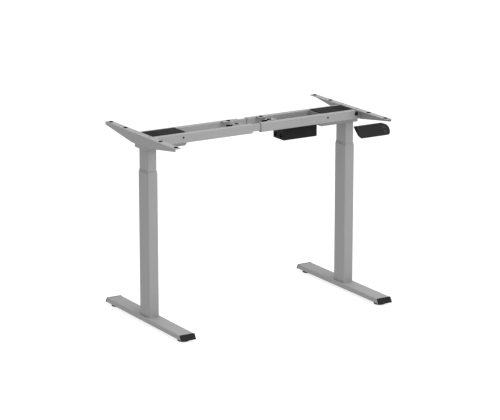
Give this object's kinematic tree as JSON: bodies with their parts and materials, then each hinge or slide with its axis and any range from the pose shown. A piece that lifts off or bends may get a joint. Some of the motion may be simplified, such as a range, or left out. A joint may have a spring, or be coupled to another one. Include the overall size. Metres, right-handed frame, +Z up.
{
  "type": "height adjustable desk frame",
  "caption": "Electric sit-stand desk frame: telescoping columns on flat feet, telescoping cross rails, tapered side brackets, a control box and a two-key handset.",
  "frame": {"origin": "on the floor, at the centre of the rectangle that the frame and its handset cover; the mid plane of feet, columns and brackets is at Y = +0.031 m", "axes": "+X along the rails from the left column to the right one, seen from the user's side; -Y towards the user, where the handset is; +Z up"},
  "size_m": [1.0688, 0.724, 0.8262],
  "materials": {
    "frame_paint": "fine-textured grey powder coat",
    "collar_plastic": "matte grey",
    "black_plastic": "fine-textured black",
    "glide_rubber": "matte black",
    "pad_rubber": "matte black",
    "zinc_steel": "zinc plated",
    "black_steel": "black oxide",
    "nut_plastic": "natural acetal",
    "spindle_steel": "rolled and greased",
    "gearbox_alloy": "die cast",
    "motor_steel": "black enamel",
    "control_plastic": "textured black",
    "control_paint": "black powder coat",
    "socket_plastic": "moulded black",
    "board_laminate": "green laminate",
    "handset_plastic": "fine-textured black",
    "handset_panel": "satin black",
    "key_plastic": "matte dark grey"
  },
  "bodies": {
    "left_base": {"left_foot_tube": "frame_paint", "left_foot_caps": "black_plastic", "left_foot_screws": "zinc_steel", "left_outer_tube": "frame_paint", "left_collar": "collar_plastic", "left_push_tube": "zinc_steel", "left_spindle_nut": "nut_plastic"},
    "left_head": {"left_inner_tube": "frame_paint", "left_guide_ring": "nut_plastic", "left_gearbox": "gearbox_alloy", "left_gearbox_screws": "zinc_steel", "left_motor": "motor_steel", "left_motor_housing": "frame_paint", "left_housing_cover": "black_plastic", "left_bracket": "frame_paint", "left_button_screws": "black_steel", "left_desktop_pads": "pad_rubber", "left_rail_plugs": "black_plastic", "left_rail_sliders": "black_plastic", "left_rear_rail": "frame_paint", "left_front_rail": "frame_paint"},
    "left_screw": {"left_spindle": "spindle_steel"},
    "left_front_foot": {"left_front_glide": "glide_rubber"},
    "left_rear_foot": {"left_rear_glide": "glide_rubber"},
    "right_base": {"right_foot_tube": "frame_paint", "right_foot_caps": "black_plastic", "right_foot_screws": "zinc_steel", "right_outer_tube": "frame_paint", "right_collar": "collar_plastic", "right_push_tube": "zinc_steel", "right_spindle_nut": "nut_plastic"},
    "right_head": {"right_inner_tube": "frame_paint", "right_guide_ring": "nut_plastic", "right_gearbox": "gearbox_alloy", "right_gearbox_screws": "zinc_steel", "right_motor": "motor_steel", "right_motor_housing": "frame_paint", "right_housing_cover": "black_plastic", "right_bracket": "frame_paint", "right_button_screws": "black_steel", "right_desktop_pads": "pad_rubber", "right_rail_plugs": "black_plastic", "right_rail_sliders": "black_plastic", "right_rear_rail": "frame_paint", "right_front_rail": "frame_paint", "control_case": "control_plastic", "control_lid": "control_paint", "control_screws": "black_steel", "control_sockets": "socket_plastic", "control_board": "board_laminate", "handset_case": "handset_plastic", "handset_face": "handset_panel"},
    "right_screw": {"right_spindle": "spindle_steel"},
    "right_front_foot": {"right_front_glide": "glide_rubber"},
    "right_rear_foot": {"right_rear_glide": "glide_rubber"},
    "middle_rails": {"centre_front_rail": "frame_paint", "centre_rear_rail": "frame_paint"},
    "up_button": {"up_key": "key_plastic"},
    "down_button": {"down_key": "key_plastic"}
  },
  "joints": [
    {"name": "left_lift", "type": "slide", "parent": "left_base", "child": "left_head", "axis": [0, 0, 1], "range_m": [-0.085, 0.365]},
    {"name": "left_screw_turn", "type": "hinge", "parent": "left_head", "child": "left_screw", "pos_m": [-0.495, 0.031, 0.7], "axis": [0, 0, 1], "range_deg": [-2551, 10951]},
    {"name": "left_width", "type": "slide", "parent": "left_head", "child": "middle_rails", "axis": [1, 0, 0], "range_m": [-0.02, 0.33]},
    {"name": "right_width", "type": "slide", "parent": "middle_rails", "child": "right_head", "axis": [1, 0, 0], "range_m": [-0.02, 0.33]},
    {"name": "right_lift", "type": "slide", "parent": "right_head", "child": "right_base", "axis": [0, 0, -1], "range_m": [-0.085, 0.365]},
    {"name": "right_screw_turn", "type": "hinge", "parent": "right_head", "child": "right_screw", "pos_m": [0.495, 0.031, 0.7], "axis": [0, 0, 1], "range_deg": [-2551, 10951]},
    {"name": "left_front_level", "type": "slide", "parent": "left_base", "child": "left_front_foot", "axis": [0, 0, -1], "range_m": [-0.0025, 0.008]},
    {"name": "left_rear_level", "type": "slide", "parent": "left_base", "child": "left_rear_foot", "axis": [0, 0, -1], "range_m": [-0.0025, 0.008]},
    {"name": "right_front_level", "type": "slide", "parent": "right_base", "child": "right_front_foot", "axis": [0, 0, -1], "range_m": [-0.0025, 0.008]},
    {"name": "right_rear_level", "type": "slide", "parent": "right_base", "child": "right_rear_foot", "axis": [0, 0, -1], "range_m": [-0.0025, 0.008]},
    {"name": "up_press", "type": "slide", "parent": "right_head", "child": "up_button", "axis": [0, 0.8659, -0.5003], "range_m": [0, 0.0008], "stiffness_N_per_m": 2500, "springref_m": -0.0004},
    {"name": "down_press", "type": "slide", "parent": "right_head", "child": "down_button", "axis": [0, 0.8659, -0.5003], "range_m": [0, 0.0008], "stiffness_N_per_m": 2500, "springref_m": -0.0004}
  ],
  "couplings": [
    {"joint": "left_screw_turn", "follows": "left_lift", "rad_per_m": 523.6},
    {"joint": "right_lift", "follows": "left_lift", "ratio": 1},
    {"joint": "right_screw_turn", "follows": "left_lift", "rad_per_m": 523.6},
    {"joint": "right_width", "follows": "left_width", "ratio": 1}
  ]
}
